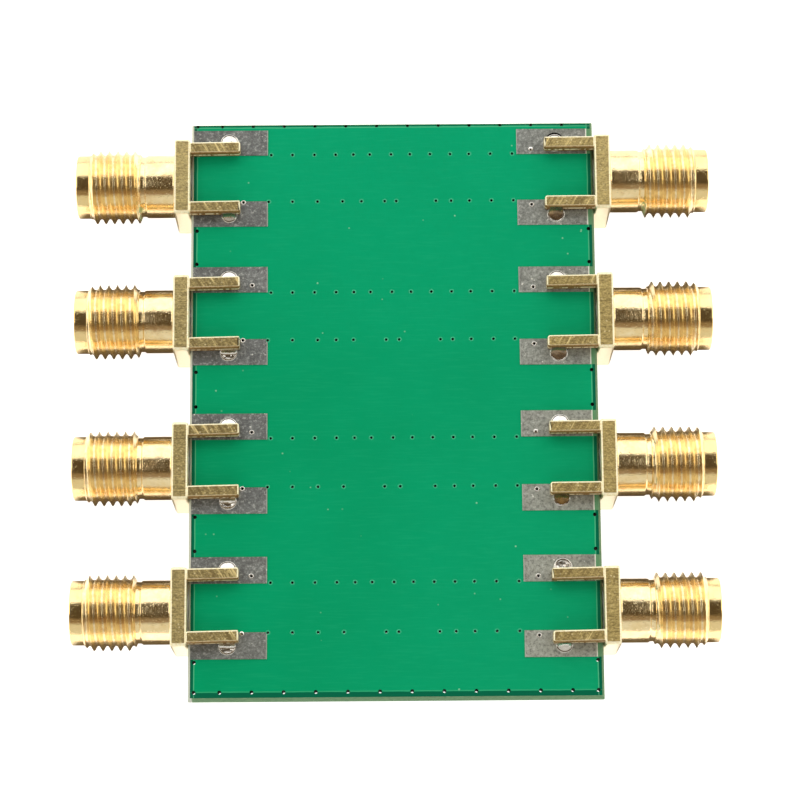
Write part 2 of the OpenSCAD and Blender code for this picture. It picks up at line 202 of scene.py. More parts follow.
class Finish:
    """A material under construction, with the patterns that several finishes share."""

    def __init__(self, name, roughness=0.5, metallic=0.0, **fixed):
        self.material = bpy.data.materials.new(name)
        self.material.use_nodes = True
        self.tree = self.material.node_tree
        self.shader = self.tree.nodes["Principled BSDF"]
        self.set("Roughness", roughness)
        self.set("Metallic", metallic)
        for key, value in fixed.items():
            self.set(key.replace("_", " "), value)
        coordinates = add(self.tree, "ShaderNodeTexCoord").outputs["Object"]
        scaled = add(self.tree, "ShaderNodeVectorMath", {"operation": "SCALE"}, in0=coordinates,
                     Scale=1 / MM)
        self.place = scaled.outputs[0]              # where on the object, in millimetres
        split = add(self.tree, "ShaderNodeSeparateXYZ", in0=self.place)
        self.x, self.y, self.z = (Wire(self.tree, s) for s in split.outputs)
        normal = add(self.tree, "ShaderNodeNewGeometry").outputs["Normal"]
        facing = add(self.tree, "ShaderNodeSeparateXYZ", in0=normal)
        self.nx, self.ny, self.nz = (Wire(self.tree, s) for s in facing.outputs)

    def set(self, name, value):
        plug(self.tree, self.shader.inputs[name], value)

    def pads(self, side):
        """1 within the width of a jack pad of this side."""
        inside = None
        for middle in PAD_ROWS[side]:
            off = abs(abs(self.y - middle) - PAD_OFFSET) < PAD_WIDE / 2
            inside = off if inside is None else inside.either(off)
        return inside

    def spot(self, x, y, z):
        return add(self.tree, "ShaderNodeCombineXYZ", X=x, Y=y, Z=z).outputs[0]

    def stretched(self, scale):
        node = add(self.tree, "ShaderNodeVectorMath", {"operation": "MULTIPLY"}, in0=self.place, in1=scale)
        return node.outputs[0]

    def noise(self, scale, detail=3.0, rough=0.5, stretch=None, where=None):
        where = where or (self.stretched(stretch) if stretch else self.place)
        node = add(self.tree, "ShaderNodeTexNoise", Vector=where, Scale=scale, Detail=detail,
                   Roughness=rough)
        return Wire(self.tree, node.outputs["Fac"])

    def cells(self, scale):
        """The distance to the nearest of many scattered points."""
        node = add(self.tree, "ShaderNodeTexVoronoi", Vector=self.place, Scale=scale)
        return Wire(self.tree, node.outputs["Distance"])

    def stored(self, name):
        """A number kept at the mesh's own points."""
        node = add(self.tree, "ShaderNodeAttribute", {"attribute_name": name})
        return Wire(self.tree, node.outputs["Fac"])

    def mix(self, amount, first, second):
        return mixed(self.tree, amount, first, second)

    def bump(self, height, depth, under=None):
        """A bump of depth millimetres where height goes from 0 to 1, on top of another."""
        node = add(self.tree, "ShaderNodeBump", Strength=1.0, Distance=depth * MM, Height=height)
        if under is not None:
            plug(self.tree, node.inputs["Normal"], under)
        return node.outputs["Normal"]


def srgb(red, green, blue):
    """A colour as read off the photograph, 0 to 255, for a shader."""
    def linear(value):
        value /= 255
        return value / 12.92 if value <= 0.04045 else ((value + 0.055) / 1.055) ** 2.4
    return (linear(red), linear(green), linear(blue), 1.0)


# Finishes.


def green_mask():
    """Solder mask over copper, bare laminate along the rim, plated walls in the holes."""
    f = Finish("green_mask", Specular_IOR_Level=0.07)
    blotch = f.noise(0.1, 2.0)
    fine = f.noise(2.4, 4.0, 0.6)
    # Painted light: the green is lighter towards the top of the board, the side the soft box lights from.
    up = (f.y / (2 * BOARD_HALF_L) + 0.5).clamp()
    green = f.mix(blotch.rise(0.35, 0.65), srgb(1, 146, 97), srgb(1, 152, 103))
    green = f.mix(up.rise(0.45, 1.0) * 0.7, green, srgb(2, 160, 113))
    to_right = (f.x / (2 * BOARD_HALF_W) + 0.5).clamp()
    green = f.mix(to_right * (1 - up) * 0.5, green, srgb(16, 156, 110))
    green = f.mix(fine.rise(0.45, 0.75) * 0.22, green, srgb(1, 144, 93))
    weave = f.noise(1.0, 2.0, 0.5, (0.5, 7.0, 1.0)).rise(0.5, 0.75)
    green = f.mix(weave * 0.1, green, srgb(50, 184, 138))
    wander = (f.noise(1.1, 3.0) - 0.5) * 0.05
    right, left, top, bottom = f.x + wander, wander - f.x, f.y + wander, wander - f.y
    side_end, bottom_end = BOARD_HALF_W - SIDE_STRIP, BOARD_HALF_L - BOTTOM_STRIP
    top_end, soft = BOARD_HALF_L - TOP_STRIP, 0.04
    bare_edge_and_shadow = (
        right.rise(side_end, side_end + soft)
        .either(left.rise(side_end, side_end + soft))
        .either(bottom.rise(bottom_end, bottom_end + soft))
        .either(top.rise(top_end, top_end + soft))
    )
    rim_line = (
        right.band(side_end - 0.06, side_end - 0.02, 0.03)
        .either(left.band(side_end - 0.06, side_end - 0.02, 0.03))
        .either(bottom.band(bottom_end - 0.06, bottom_end - 0.02, 0.03) * 0.4)
        .either(top.band(top_end - 0.08, top_end - 0.04, 0.03))
    )
    # Darker strips where the copper stops; along the sides they are also painted shadow beside the
    # flanges.
    green = f.mix(bare_edge_and_shadow, green, srgb(4, 98, 70))
    green = f.mix(rim_line * 0.36, green, srgb(128, 205, 165))
    beside_pad = f.pads("r") * f.x.rise(PAD_OUT_RIGHT, PAD_OUT_RIGHT + soft)
    green = f.mix(beside_pad * 0.8, green, srgb(112, 158, 118))
    dust = (1 - f.cells(0.62).rise(0.02, 0.06)) * f.noise(0.25, 1.0).rise(0.46, 0.56)
    green = f.mix(dust * 0.75, green, srgb(150, 214, 178))
    on_face = abs(f.nz).rise(0.93, 0.97)
    fibre = f.noise(3.2, 4.0, 0.7, (1.0, 1.0, 5.0))
    pale = f.x.rise(-BOARD_HALF_W + 0.4, -BOARD_HALF_W + 0.3)
    rim = f.mix(fibre.rise(0.3, 0.7), srgb(92, 134, 102), srgb(136, 168, 132))
    rim = f.mix(pale, rim, srgb(206, 214, 204))
    wall = f.mix(fibre, srgb(16, 10, 6), srgb(44, 32, 20))
    past_side = abs(f.x).rise(BOARD_HALF_W - RIM_LEAN - 0.02, BOARD_HALF_W - RIM_LEAN)
    past_end = abs(f.y).rise(BOARD_HALF_L - RIM_LEAN - 0.02, BOARD_HALF_L - RIM_LEAN)
    outside = past_side.either(past_end)
    f.set("Base Color", f.mix(on_face, f.mix(outside, wall, rim), green))
    f.set("Roughness", f.noise(0.8, 3.0) * 0.12 + 0.3 + (1 - on_face) * 0.4)
    grain = f.bump(f.noise(7.0, 2.0), 0.005)
    grain = f.bump(fibre * (1 - on_face), 0.05, grain)
    f.set("Normal", f.bump(dust, 0.02, grain))
    return f.material


def tinned_pad():
    """Dull hot-air levelled tin, with bright scratches, specks and darker stains."""
    f = Finish("tinned_pad", metallic=0.55)
    cloud = f.noise(1.1, 5.0, 0.62)
    fine = f.noise(8.0, 3.0, 0.65)
    grey = f.mix(cloud.rise(0.32, 0.68), srgb(97, 100, 101), srgb(133, 137, 137))
    warm = (f.x / 40.0 - f.y / 80.0 + 0.45).clamp()
    grey = f.mix(warm.rise(0.25, 1.0) * 0.85, grey, srgb(180, 184, 172))
    mottle = f.noise(3.6, 3.0, 0.7)
    grey = f.mix(mottle.rise(0.5, 0.36) * 0.6, grey, srgb(86, 88, 88))
    grey = f.mix(mottle.rise(0.54, 0.68) * 0.6, grey, srgb(206, 210, 206))
    grey = f.mix(fine.rise(0.5, 0.8) * 0.35, grey, srgb(206, 208, 204))
    speck = (1 - f.cells(1.7).rise(0.06, 0.13)) * f.noise(0.7, 1.0).rise(0.44, 0.55)
    turn = f.noise(0.35, 2.0) * 5.0
    along = f.x * turn.math("COSINE") + f.y * turn.math("SINE")
    across = f.y * turn.math("COSINE") - f.x * turn.math("SINE")
    streak = f.noise(1.0, 3.0, 0.6, where=f.spot(across * 5.0, along * 0.45, f.z))
    scratch = streak.rise(0.64, 0.72) * f.noise(0.5, 2.0).rise(0.48, 0.58)
    grey = f.mix(scratch * 0.75, grey, srgb(226, 226, 220))
    grey = f.mix(speck * 0.9, grey, srgb(238, 238, 232))
    stain = f.noise(0.45, 3.0).rise(0.56, 0.7)
    grey = f.mix(stain * 0.35, grey, srgb(84, 86, 86))
    # Painted highlight: the pads' inner and outer ends are painted paler, for the light that their rounded
    # tin catches.
    inner = (PAD_IN + 0.09 - abs(f.x)).rise(0.0, 0.03)
    outer = f.x.rise(PAD_OUT_RIGHT - 0.11, PAD_OUT_RIGHT - 0.08)
    grey = f.mix(outer * 0.9, f.mix(inner * 0.5, grey, srgb(200, 204, 198)), srgb(250, 250, 240))
    f.set("Base Color", grey)
    f.set("Roughness", cloud * 0.25 + 0.34 - speck * 0.1)
    uneven = f.bump(fine, 0.006, f.bump(cloud, 0.03))
    f.set("Normal", f.bump(speck, 0.03, f.bump(scratch, 0.01, uneven)))
    return f.material


def turned_gold():
    """Bright gold over turned brass: lathe lines round the barrel, the thread's roots paler as painted
    light, with browner patches at their bottom.
    """
    f = Finish("turned_gold", metallic=1.0)
    lathe = f.noise(1.0, 3.0, 0.65, (26.0, 0.4, 0.4))
    cloud = f.noise(0.9, 4.0, 0.6)
    gold = f.mix(cloud.rise(0.35, 0.7), srgb(248, 222, 168), srgb(254, 236, 192))
    stain = f.noise(0.5, 4.0, 0.65).rise(0.56, 0.72)
    gold = f.mix(stain * 0.3, gold, srgb(214, 160, 96))
    hollow = f.stored("hollow")
    # Painted light: the thread's roots are painted paler.
    gold = f.mix(hollow * 0.25, gold, srgb(255, 238, 196))
    # Browner patches at the bottom of the roots.
    root_patches = hollow.rise(0.7, 1.0) * f.noise(1.6, 3.0, 0.6).rise(0.45, 0.62)
    gold = f.mix(root_patches * 0.35, gold, srgb(190, 126, 64))
    plain_ring = abs(f.x).rise(THREAD_X1 - 0.1, THREAD_X1 + 0.05)
    gold = f.mix(plain_ring * 0.5, gold, srgb(238, 208, 138))
    green = f.stored("tarnish") * f.noise(2.5, 2.0).rise(0.36, 0.55)
    gold = f.mix(green * 0.7, gold, srgb(140, 186, 132))
    f.set("Base Color", gold)
    rubbed = cloud * 0.08 + 0.12 + stain * 0.08
    f.set("Roughness", rubbed + hollow.rise(0.02, 0.3) * 0.08 + green * 0.3)
    pits = 1 - f.cells(5.0).rise(0.08, 0.3)
    uneven = f.bump(pits, -0.006, f.bump(f.noise(3.0, 3.0), 0.012))
    f.set("Normal", f.bump(lathe, 0.004, uneven))
    return f.material


def milled_gold():
    """The sawn faces of flange and legs: matt and olive on top, with broken edges painted pale as
    highlight and sides painted cream as light; on the ground face the legs' sides and front edges are
    painted dark brown as shade.
    """
    f = Finish("milled_gold")
    top = abs(f.nz).rise(0.955, 0.985)
    edge = abs(f.nz).band(0.25, 0.95, 0.04)
    on_leg = 1 - abs(f.x).rise(FLANGE_X - 0.05, FLANGE_X)
    # Painted shade on these legs: their sides and front edges are painted dark brown.
    ground_legs = on_leg * f.z.rise(PAD_TOP - 0.1, PAD_TOP)       # the legs on the ground face
    grain = f.noise(6.5, 3.0, 0.8, (0.7, 1.2, 1.0))
    cloud = f.noise(0.7, 3.0)
    pits = (1 - f.cells(2.6).rise(0.08, 0.26)) * f.noise(0.8, 1.0).rise(0.4, 0.55)
    lean = f.x.rise(-1.0, 1.0) * 2 - 1                      # the saw ran the other way on the left
    across = f.x * 0.87 - f.y * lean * 0.5
    along = f.x * 0.5 + f.y * lean * 0.87
    saw = f.noise(1.0, 2.0, 0.6, where=f.spot(across * 3.6, along * 0.25, lean * 7.0))
    brushed = f.noise(1.0, 3.0, 0.65, (0.35, 9.0, 1.0))
    groove, ridge = saw.rise(0.5, 0.36), saw.rise(0.58, 0.68)
    warm = (f.x / 50.0 + 0.5).clamp()
    olive = f.mix(cloud.rise(0.3, 0.7), srgb(146, 132, 86), srgb(164, 149, 102))
    olive = f.mix(warm * 0.6, olive, srgb(176, 153, 86))
    # Painted light: lighter towards the top row of jacks, the side the soft box lights from.
    olive = f.mix(f.y.rise(8.0, 20.0) * 0.4, olive, srgb(204, 186, 128))
    olive = f.mix(on_leg * (0.38 - warm * 0.3), olive, srgb(96, 82, 46))
    olive = f.mix(grain.rise(0.5, 0.4) * 0.55, olive, srgb(96, 78, 40))
    olive = f.mix(grain.rise(0.53, 0.64) * 0.55, olive, srgb(224, 200, 132))
    olive = f.mix(brushed.rise(0.55, 0.7) * (1 - on_leg) * 0.5, olive, srgb(206, 186, 122))
    olive = f.mix(brushed.rise(0.45, 0.3) * (1 - on_leg) * 0.5, olive, srgb(92, 74, 36))
    olive = f.mix(ridge * on_leg * 0.8, olive, srgb(232, 212, 150))
    olive = f.mix(groove * on_leg * 0.6, olive, srgb(100, 80, 38))
    olive = f.mix(pits * 0.5, olive, srgb(246, 232, 184))
    # Painted light: the sides are painted cream and the tops olive, lit and shaded copies of one gold.
    cream = f.mix(grain.rise(0.4, 0.8) * 0.5, srgb(254, 238, 204), srgb(248, 224, 178))
    flecks = (1 - f.cells(1.6).rise(0.05, 0.1)) * f.noise(0.6, 1.0).rise(0.5, 0.55)
    cream = f.mix(flecks * 0.6, cream, srgb(150, 112, 70))
    # Painted reflection: a pale line low on the sides of the legs on the ground face.
    painted_reflection = f.noise(4.0, 2.0, 0.5, (1.0, 0.2, 0.2)).rise(0.4, 0.52)
    painted_reflection = f.z.band(PAD_TOP + 0.36, PAD_TOP + 0.56, 0.08) * painted_reflection
    # Painted shade: the sides of those legs are painted dark brown.
    leg_side = f.mix(cloud, srgb(112, 80, 40), srgb(150, 112, 62))
    leg_side = f.mix(painted_reflection * 0.8, leg_side, srgb(255, 244, 206))
    side = f.mix(ground_legs, cream, leg_side)
    # Painted highlight: the eased edges are painted pale.
    pale = f.mix(grain.rise(0.3, 0.55), srgb(240, 218, 160), srgb(255, 250, 220))
    # Painted shade: on the legs of the ground face the front edges are painted brown instead.
    brown = f.mix(grain.rise(0.35, 0.65), srgb(112, 80, 42), srgb(178, 146, 90))
    pale = f.mix((-f.ny).rise(0.25, 0.5) * ground_legs, pale, brown)
    f.set("Base Color", f.mix(edge, f.mix(top, side, olive), pale))
    upright = (1 - top) * (1 - edge)
    f.set("Metallic", top * 0.35 + edge * 0.15 + upright * (0.85 - ground_legs * 0.75))
    sawn = 0.28 + top * 0.2 + cloud * 0.06 + grain * 0.08
    f.set("Roughness", sawn + on_leg * 0.05 + ground_legs * upright * 0.4)
    rough = f.bump(grain, 0.014, f.bump(pits, 0.02))
    f.set("Normal", f.bump(saw * on_leg * top, 0.04, rough))
    return f.material


def contact_gold():
    """The springy gold of the centre contacts."""
    f = Finish("contact_gold", metallic=1.0)
    f.set("Base Color", f.mix(f.noise(2.0, 3.0), srgb(236, 200, 128), srgb(252, 226, 164)))
    f.set("Roughness", f.noise(3.0) * 0.1 + 0.18)
    return f.material


def bright_solder():
    """Shining solder, browned by burnt flux where the mesh says so."""
    f = Finish("bright_solder", metallic=1.0)
    cloud = f.noise(1.6, 4.0, 0.6)
    grey = f.mix(cloud.rise(0.35, 0.7), srgb(210, 208, 203), srgb(240, 239, 235))
    flux = f.noise(2.6, 3.0, 0.6).rise(0.6, 0.7)
    grey = f.mix(flux * 0.45, grey, srgb(150, 138, 112))
    burnt = f.stored("flux") * f.noise(3.4, 2.0, 0.5).rise(0.2, 0.34)
    brown = f.mix(cloud.rise(0.3, 0.7), srgb(62, 42, 10), srgb(150, 112, 46))
    f.set("Base Color", f.mix(burnt, grey, brown))
    f.set("Metallic", 1 - burnt * 0.15)
    f.set("Roughness", cloud * 0.14 + 0.08 + flux * 0.1 + burnt * 0.12)
    f.set("Normal", f.bump(f.noise(5.0, 3.0), 0.012))
    return f.material


def white_insulator():
    """Waxy white plastic."""
    f = Finish("white_insulator", roughness=0.42)
    f.set("Base Color", f.mix(f.noise(0.9, 3.0), srgb(236, 233, 226), srgb(246, 244, 240)))
    f.set("Normal", f.bump(f.noise(14.0, 2.0), 0.004))
    return f.material


def chip_black():
    """Glazed black film over the outer face of a white ceramic block."""
    f = Finish("chip_black")
    glazed = (-f.nz).rise(0.5, 0.8)
    black = f.mix(f.noise(6.0), srgb(18, 18, 20), srgb(34, 34, 38))
    f.set("Base Color", f.mix(glazed, srgb(226, 224, 216), black))
    f.set("Roughness", 0.5 - glazed * 0.25)
    return f.material


def mask_ring():
    """Mask where it thickens over the collar of a small hole."""
    f = Finish("mask_ring", roughness=0.25)
    f.set("Base Color", f.mix(f.noise(1.5, 2.0), srgb(24, 160, 112), srgb(52, 176, 132)))
    return f.material


FINISH = {
    "green_board": green_mask(),
    "tinned_copper": tinned_pad(),
    "gold_plate": turned_gold(),
    "white_insulator": white_insulator(),
    "contact_gold": contact_gold(),
    "solder": bright_solder(),
    "chip_ceramic": chip_black(),
    "chip_metal": bright_solder(),
}
MILLED = milled_gold()
MASK_RING = mask_ring()


# Mesh helpers.


def new_object(name, mesh, *materials):
    """A linked object at the origin, with these materials in its mesh."""
    obj = bpy.data.objects.new(name, mesh)
    bpy.context.scene.collection.objects.link(obj)
    for material in materials:
        mesh.materials.append(material)
    return obj


def finish_piece(obj, slot, *nodes):
    """Hands a finished piece over: its body and the solids that it stands for. The slot is not used."""
    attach(obj, "root")
    if nodes:
        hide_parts(*nodes)


def smooth(mesh, degrees):
    """Smooth faces, with every edge sharper than this angle kept sharp."""
    mesh.polygons.foreach_set("use_smooth", [True] * len(mesh.polygons))
    mesh.set_sharp_from_angle(angle=math.radians(degrees))
    mesh.update()


def evaluated(obj, name):
    """The object's modifiers turned into a plain mesh; the carrier object is removed."""
    graph = bpy.context.evaluated_depsgraph_get()
    mesh = bpy.data.meshes.new_from_object(obj.evaluated_get(graph))
    mesh.name = name
    data = obj.data
    bpy.data.objects.remove(obj)
    if isinstance(data, bpy.types.Mesh):
        bpy.data.meshes.remove(data)
    return mesh


def with_bevel(obj, width, segments=2, angle=30.0, held_back=True):
    """Eases the edges sharper than this angle; held back, a bevel stops where it would overlap."""
    bevel = obj.modifiers.new("edges", "BEVEL")
    bevel.use_clamp_overlap = held_back
    bevel.width, bevel.segments = width * MM, segments
    bevel.limit_method, bevel.angle_limit = "ANGLE", math.radians(angle)
    return obj


def flat_faces_stay_flat(mesh):
    """Smooths a mesh but lets its large faces decide the normals along their edges."""
    smooth(mesh, 40.0)
    carrier = new_object(mesh.name + "_carrier", mesh)
    weigh = carrier.modifiers.new("weigh", "WEIGHTED_NORMAL")
    weigh.keep_sharp, weigh.weight = True, 100
    return evaluated(carrier, mesh.name)


def flatten(work):
    """Joins the faces that lie in one plane."""
    bmesh.ops.dissolve_limit(work, angle_limit=math.radians(1.0), verts=work.verts, edges=work.edges)


def merged_copy(node):
    """A CAD node's mesh as a merged copy, ready to be changed."""
    mesh = frame["nodes"][node].data.copy()
    mesh.materials.clear()
    work = bmesh.new()
    work.from_mesh(mesh)
    bmesh.ops.remove_doubles(work, verts=work.verts, dist=CAD_JOIN * MM)
    flatten(work)
    return mesh, work


def eased_copy(node, width):
    """A CAD node's mesh, merged and with its edges eased."""
    mesh, work = merged_copy(node)
    work.to_mesh(mesh)
    work.free()
    carrier = with_bevel(new_object(node + "_carrier", mesh), width)
    return flat_faces_stay_flat(evaluated(carrier, node + "_eased"))


# Geometry trees.


def tree_with(name, inputs):
    """A geometry tree with a Geometry output and these named inputs, as wires."""
    tree = bpy.data.node_groups.new(name, "GeometryNodeTree")
    tree.interface.new_socket("Geometry", in_out="INPUT", socket_type="NodeSocketGeometry")
    kinds = {int: "NodeSocketInt", float: "NodeSocketFloat", type(None): "NodeSocketMaterial"}
    for label, value in inputs.items():
        socket = tree.interface.new_socket(label, in_out="INPUT", socket_type=kinds[type(value)])
        if value is not None:
            socket.default_value = value
    tree.interface.new_socket("Geometry", in_out="OUTPUT", socket_type="NodeSocketGeometry")
    entry = add(tree, "NodeGroupInput")
    return tree, {s.name: Wire(tree, s) for s in entry.outputs}


def close_tree(tree, geometry, finish):
    """Ends a tree: instances made real, one material, out."""
    real = add(tree, "GeometryNodeRealizeInstances", Geometry=geometry)
    coated = add(tree, "GeometryNodeSetMaterial", Geometry=real.outputs[0], Material=finish)
    tree.links.new(coated.outputs[0], add(tree, "NodeGroupOutput").inputs[0])
    return tree


def run_tree(tree, name, mesh=None, **values):
    """Runs a geometry tree on an object of its own and returns the mesh that it makes."""
    obj = new_object(name, mesh or bpy.data.meshes.new(name))
    modifier = obj.modifiers.new("form", "NODES")
    modifier.node_group = tree
    for item in tree.interface.items_tree:
        key = item.name.replace(" ", "_").lower()
        if item.in_out == "INPUT" and key in values:
            modifier[item.identifier] = values[key]
    return evaluated(obj, name)


def sheet(tree, rows, columns):
    """A unit grid and its two running shares, 0 to 1 along and around."""
    grid = add(tree, "GeometryNodeMeshGrid", Size_X=1.0, Size_Y=1.0, Vertices_X=rows,
               Vertices_Y=columns)
    position = add(tree, "GeometryNodeInputPosition").outputs[0]
    split = add(tree, "ShaderNodeSeparateXYZ", in0=position)
    along, around = (Wire(tree, s) + 0.5 for s in split.outputs[:2])
    return grid.outputs["Mesh"], along, around


def thread_tree():
    """A helical thread: a sheared grid whose rows follow the helix, with crisp crests and round roots."""
    tree, wire = tree_with("coupling_thread", {
        "Outside radius": THREAD_D / 2, "Pitch": THREAD_PITCH, "Depth": THREAD_DEEP,
        "Start": THREAD_X0, "End": THREAD_X1, "Start radius": RELIEF_D / 2, "End radius": LEAD_D / 2,
        "Rows": ROWS_PER_TURN * (THREAD_TURNS + 1) + 1, "Round": ROUND, "Finish": None,
    })
    grid, along, around = sheet(tree, wire["Rows"], wire["Round"] + 1)
    pitch, start, end = wire["Pitch"], wire["Start"], wire["End"]
    reach = end - start + pitch
    x = (start - pitch + along * reach + around * pitch).math("MAXIMUM", start).math("MINIMUM", end)
    phase = (along * reach / pitch).math("FRACT")
    flank = 1 - abs(phase - 0.5) * 2                          # 0 in the root, 1 on the crest
    full = wire["Outside radius"] - wire["Depth"] * (1 - flank.rise(0.1, 0.97) ** 1.7)
    at_end = wire["End radius"] + (end - x) * 1.1
    at_start = wire["Start radius"] + (x - start) * 2.2 + 0.05
    radius = full.math("MINIMUM", at_end).math("MINIMUM", at_start)
    before_end, after_start = x < end - 1e-4, x > start + 1e-4
    radius = before_end * radius + (1 - before_end) * wire["End radius"]
    radius = after_start * radius + (1 - after_start) * wire["Start radius"]
    angle = around * math.tau
    place = add(tree, "ShaderNodeCombineXYZ", X=x * MM, Y=radius * angle.math("COSINE") * MM,
                Z=radius * angle.math("SINE") * MM)
    moved = add(tree, "GeometryNodeSetPosition", Geometry=grid, Position=place.outputs[0])
    joined = add(tree, "GeometryNodeMergeByDistance", Geometry=moved.outputs[0], Distance=JOIN * MM)
    return close_tree(tree, joined.outputs[0], wire["Finish"])


def joint_tree():
    """Solder in a plated hole: a bright collar, a hollow or a dome, and a climb up the leg."""
    tree, wire = tree_with("solder_joint", {
        "Middle X": 0.0, "Middle Y": 0.0, "Base": 0.0, "Radius": 0.75, "Collar": 0.05,
        "Swell": 0.12, "Wall": 0.05, "Side": 1.0, "Climb": 0.45, "Seed": 0.0,
        "Rings": 22, "Round": 48, "Finish": None,
    })
    grid, along, around = sheet(tree, wire["Rings"], wire["Round"] + 1)
    angle = around * math.tau
    x = along * wire["Radius"] * angle.math("COSINE")
    y = along * wire["Radius"] * angle.math("SINE")
    collar = (1 - ((along - 0.92) / 0.08) ** 2.0).math("MAXIMUM", 0.0) * wire["Collar"]
    swell = (1 - (along / 0.86) ** 2.0).math("MAXIMUM", 0.0) * wire["Swell"]
    off_wall = ((y + wire["Wall"]) * wire["Side"]).math("MAXIMUM", 0.0)
    climb = wire["Climb"] * (off_wall * -5.0).math("EXPONENT") * (1 - along.rise(0.75, 1.0))
    where = add(tree, "ShaderNodeCombineXYZ", X=x, Y=y, Z=wire["Seed"]).outputs[0]
    ripple = add(tree, "ShaderNodeTexNoise", Vector=where, Scale=2.4, Detail=2.0)
    ripple = (Wire(tree, ripple.outputs[0]) - 0.5) * 0.09 * (1 - along.rise(0.8, 0.95))
    rise = (collar + swell + climb + ripple).math("MAXIMUM", -0.2) * (along < 0.999)
    z = wire["Base"] + rise + 0.004
    place = add(tree, "ShaderNodeCombineXYZ", X=(wire["Middle X"] + x) * MM, Y=(wire["Middle Y"] + y) * MM,
                Z=z * MM)
    moved = add(tree, "GeometryNodeSetPosition", Geometry=grid, Position=place.outputs[0])
    joined = add(tree, "GeometryNodeMergeByDistance", Geometry=moved.outputs[0], Distance=JOIN * MM)
    return close_tree(tree, joined.outputs[0], wire["Finish"])


def on_points(tree, wire, form):
    """Ends a tree with this form on every point of the carrier, flattened to its height."""
    size = add(tree, "ShaderNodeCombineXYZ", X=1.0, Y=1.0, Z=wire["Height"])
    placed = add(tree, "GeometryNodeInstanceOnPoints", Points=wire["Geometry"], Instance=form,
                 Scale=size.outputs[0])
    return close_tree(tree, placed.outputs[0], wire["Finish"])


def collar_tree():
    """A thin ring round every point of the carrier: the collars of the small holes."""
    tree, wire = tree_with("hole_collars", {
        "Radius": 0.16, "Wire": 0.045, "Height": 0.5, "Finish": None,
    })
    circle = add(tree, "GeometryNodeCurvePrimitiveCircle", Resolution=20, Radius=wire["Radius"] * MM)
    profile = add(tree, "GeometryNodeCurvePrimitiveCircle", Resolution=6, Radius=wire["Wire"] * MM)
    ring = add(tree, "GeometryNodeCurveToMesh", Curve=circle.outputs[0], Profile_Curve=profile.outputs[0])
    return on_points(tree, wire, ring.outputs[0])


def bead_tree():
    """A low bead of solder on every point of the carrier: the small holes that it has filled."""
    tree, wire = tree_with("filled_holes", {"Radius": 0.2, "Height": 0.35, "Finish": None})
    ball = add(tree, "GeometryNodeMeshUVSphere", Segments=20, Rings=12, Radius=wire["Radius"] * MM)
    return on_points(tree, wire, ball.outputs[0])


# Jack shells.

TARNISHED = (1, 5)                          # the two jacks of row 1 have gone green behind the thread


def revolved(work, outline):
    """Adds the surface of an outline of (x, radius) points turned about the X axis."""
    turns = [k * math.tau / ROUND for k in range(ROUND)]
    rings = []
    for x, radius in outline:
        rings.append([
            work.verts.new((x * MM, radius * math.cos(a) * MM, radius * math.sin(a) * MM)) for a in turns
        ])
    for first, second in zip(rings, rings[1:]):
        for k in range(ROUND):
            n = (k + 1) % ROUND
            work.faces.new((first[k], first[n], second[n], second[k]))


def arc(x, radius, r, start, end, steps=4):
    """Points of a fillet of radius r about (x, radius), angles in degrees."""
    turns = [math.radians(start + (end - start) * k / steps) for k in range(steps + 1)]
    return [(x + r * math.cos(a), radius + r * math.sin(a)) for a in turns]


def barrel_mesh(tree, seed):
    """The turned part: neck, run-out groove, thread, plain ring, mouth and bore."""
    thread = run_tree(tree, f"thread_{seed}", finish=FINISH["gold_plate"])
    work = bmesh.new()
    work.from_mesh(thread)
    neck, relief, lead = NECK_D / 2, RELIEF_D / 2, LEAD_D / 2
    face = FLANGE_X + FLANGE_THICK
    behind = [(face - 0.1, neck + 0.18)] + arc(face + 0.18, neck + 0.18, 0.18, 180, 270)
    behind += [
        (RELIEF_X0 - 0.14, neck), (RELIEF_X0 - 0.1, neck - 0.012), (RELIEF_X0, relief + 0.02),
        (RELIEF_X0 + 0.04, relief), (THREAD_X0 - 0.02, relief), (THREAD_X0, relief),
    ]
    revolved(work, behind)
    front = [(THREAD_X1, lead), (THREAD_X1 + 0.03, lead)]
    front += arc(MOUTH_X - 0.14, lead - 0.14, 0.14, 90, 0)
    mouth, bore, seat = MOUTH_D / 2, BORE_D / 2, MOUTH_X - MOUTH_DEEP
    front += [
        (MOUTH_X, mouth + 0.12), (MOUTH_X - 0.12, mouth), (seat + 0.02, mouth), (seat, mouth - 0.02),
        (seat, bore), (FLANGE_X + 0.01, bore),
    ]
    revolved(work, front)
    bmesh.ops.remove_doubles(work, verts=work.verts, dist=JOIN * MM)
    work.transform(Matrix.Rotation(0.9 * seed, 4, "X"))    # no two threads start at the same place
    hollow, tarnish = (work.verts.layers.float.new(name) for name in ("hollow", "tarnish"))
    for v in work.verts:
        x, radius = v.co.x / MM, math.hypot(v.co.y, v.co.z) / MM
        if THREAD_X0 < x < THREAD_X1:
            v[hollow] = min(1.0, max(0.0, (THREAD_D / 2 - radius) / THREAD_DEEP))
        up_the_board = v.co.y if seed > 4 else -v.co.y    # the left jacks are turned round later
        behind_thread = RELIEF_X0 + 0.1 < x < THREAD_X0 + 0.15
        if seed in TARNISHED and behind_thread and up_the_board < -2.15 * MM:
            v[tarnish] = 1.0
    mesh = bpy.data.meshes.new(f"barrel_{seed}")
    work.to_mesh(mesh)
    work.free()
    bpy.data.meshes.remove(thread)
    return mesh


def slab(work, low, high):
    """A box between two corners, added to a mesh under construction."""
    made = bmesh.ops.create_cube(work, size=1.0)["verts"]
    low, high = Vector(low), Vector(high)
    for v in made:
        v.co = Vector(((low + high)[k] / 2 + v.co[k] * (high - low)[k] for k in range(3))) * MM
    return made


